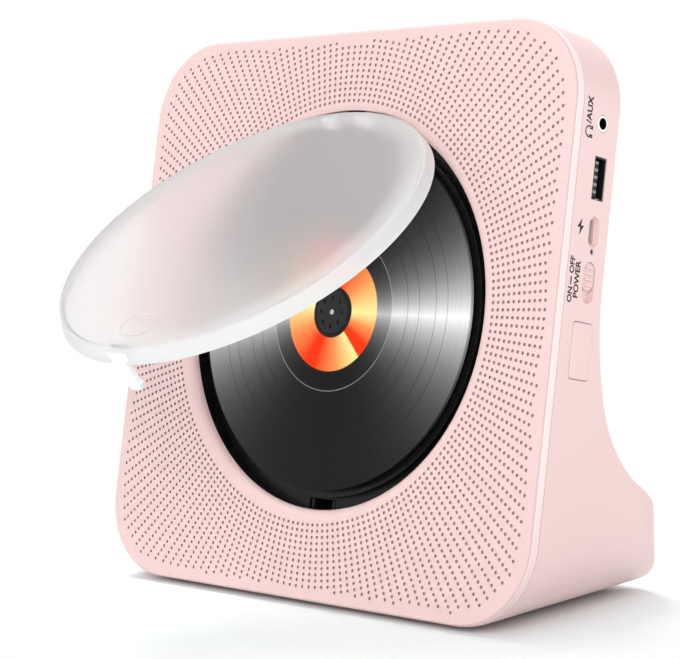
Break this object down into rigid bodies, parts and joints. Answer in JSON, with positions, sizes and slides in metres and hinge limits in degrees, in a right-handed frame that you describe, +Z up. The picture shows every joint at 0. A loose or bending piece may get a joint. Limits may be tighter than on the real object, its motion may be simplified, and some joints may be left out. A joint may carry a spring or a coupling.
{
  "type": "disc player",
  "caption": "Desk disc player with a leaning perforated front, a round disc well under a frosted hinged lid, side sockets and a flared foot.",
  "frame": {"origin": "middle of the rubber ring's resting face, on the table", "axes": "+Z up, the front faces -Y and leans back 12.2 degrees, +X to the right of someone who looks at the front"},
  "size_m": [0.1924, 0.1584, 0.1898],
  "materials": {
    "pink_front": "satin, perforated",
    "pink_shell": "satin",
    "black_plastic": "semi-gloss",
    "frosted_plastic": "frosted, translucent",
    "white_plastic": "semi-gloss",
    "dark_disc": "gloss, ringed",
    "hub_grey": "matt",
    "black_rubber": "matt",
    "bright_steel": "polished",
    "sheet_steel": "plated",
    "lens_glass": "coated",
    "speaker_paper": "paper",
    "cell_wrap": "shrink wrap",
    "board_green": "solder mask"
  },
  "bodies": {
    "housing": {"battery_cells": "cell_wrap", "battery_cover": "pink_shell", "battery_tray": "black_plastic", "board_screws": "bright_steel", "case_screws": "bright_steel", "charge_socket": "bright_steel", "damper_grommets": "black_rubber", "front_grille": "pink_front", "guide_rods": "bright_steel", "headphone_jack": "white_plastic", "hinge_pin": "bright_steel", "key_board": "board_green", "key_switches": "black_plastic", "lid_spring": "bright_steel", "main_board": "board_green", "main_board_capacitors": "bright_steel", "main_board_chips": "black_plastic", "mechanism_chassis": "sheet_steel", "mechanism_screws": "bright_steel", "power_led": "white_plastic", "power_switch": "black_plastic", "rear_shell": "pink_shell", "rubber_foot": "black_rubber", "side_board": "board_green", "side_key_switch": "black_plastic", "sled_gear_post": "bright_steel", "sled_motor": "sheet_steel", "speaker_left_basket": "sheet_steel", "speaker_left_cone": "speaker_paper", "speaker_left_magnet": "sheet_steel", "speaker_right_basket": "sheet_steel", "speaker_right_cone": "speaker_paper", "speaker_right_magnet": "sheet_steel", "speaker_screws": "bright_steel", "spindle_motor": "sheet_steel", "touch_latch": "black_plastic", "usb_socket": "bright_steel", "well_tray": "black_plastic"},
    "lid_body": {"lid": "frosted_plastic", "lid_hinge_arm_left": "white_plastic", "lid_hinge_arm_right": "white_plastic", "latch_prong": "white_plastic"},
    "disc": {"compact_disc": "dark_disc", "turntable": "hub_grey", "turntable_pad": "black_rubber", "retaining_balls": "bright_steel", "spindle_shaft": "bright_steel"},
    "sled": {"pickup_sled": "black_plastic", "pickup_lens": "lens_glass"},
    "sled_gear": {"sled_gear": "white_plastic"},
    "motor_pinion": {"motor_pinion": "white_plastic"},
    "latch_jaws": {"latch_jaws": "black_plastic"},
    "power_knob": {"power_knob": "pink_shell"},
    "side_key": {"side_key": "pink_shell"},
    "key_previous": {"key_previous": "pink_shell"},
    "key_play": {"key_play": "pink_shell"},
    "key_next": {"key_next": "pink_shell"},
    "key_volume_down": {"key_volume_down": "pink_shell"},
    "key_volume_up": {"key_volume_up": "pink_shell"}
  },
  "joints": [
    {"name": "lid_hinge", "type": "hinge", "parent": "housing", "child": "lid_body", "pos_m": [0, -0.00338, 0.16047], "axis": [-1, 0, 0], "range_deg": [-44.8, 0], "stiffness_Nm_per_rad": 0.02, "springref_deg": 91.67},
    {"name": "disc_spin", "type": "hinge", "parent": "housing", "child": "disc", "pos_m": [0, -0.0225, 0.09667], "axis": [0, -0.9774, 0.2113], "continuous": true},
    {"name": "sled_gear_spin", "type": "hinge", "parent": "housing", "child": "sled_gear", "pos_m": [-0.043, -0.00837, 0.11469], "axis": [0, 0.9774, -0.2113], "range_deg": [0, 549.1]},
    {"name": "motor_pinion_spin", "type": "hinge", "parent": "housing", "child": "motor_pinion", "pos_m": [-0.038, -0.00654, 0.12315], "axis": [0, 0.9774, -0.2113], "range_deg": [-2196.4, 0]},
    {"name": "sled_slide", "type": "slide", "parent": "housing", "child": "sled", "axis": [-1, 0, 0], "range_m": [0, 0.0345]},
    {"name": "latch_push", "type": "slide", "parent": "housing", "child": "latch_jaws", "axis": [0, 0.9774, -0.2113], "range_m": [0, 0.0015], "stiffness_N_per_m": 400},
    {"name": "power_slide", "type": "slide", "parent": "housing", "child": "power_knob", "axis": [0, -0.2113, -0.9774], "range_m": [0, 0.0038]},
    {"name": "side_key_press", "type": "slide", "parent": "housing", "child": "side_key", "axis": [-1, 0, 0], "range_m": [0, 0.0006], "stiffness_N_per_m": 800},
    {"name": "key_previous_press", "type": "slide", "parent": "housing", "child": "key_previous", "axis": [0, -0.2113, -0.9774], "range_m": [0, 0.0006], "stiffness_N_per_m": 800},
    {"name": "key_play_press", "type": "slide", "parent": "housing", "child": "key_play", "axis": [0, -0.2113, -0.9774], "range_m": [0, 0.0006], "stiffness_N_per_m": 800},
    {"name": "key_next_press", "type": "slide", "parent": "housing", "child": "key_next", "axis": [0, -0.2113, -0.9774], "range_m": [0, 0.0006], "stiffness_N_per_m": 800},
    {"name": "key_volume_down_press", "type": "slide", "parent": "housing", "child": "key_volume_down", "axis": [0, -0.2113, -0.9774], "range_m": [0, 0.0006], "stiffness_N_per_m": 800},
    {"name": "key_volume_up_press", "type": "slide", "parent": "housing", "child": "key_volume_up", "axis": [0, -0.2113, -0.9774], "range_m": [0, 0.0006], "stiffness_N_per_m": 800}
  ],
  "couplings": [
    {"joint": "sled_gear_spin", "follows": "sled_slide", "rad_per_m": 277.78},
    {"joint": "motor_pinion_spin", "follows": "sled_slide", "rad_per_m": -1111.1}
  ]
}
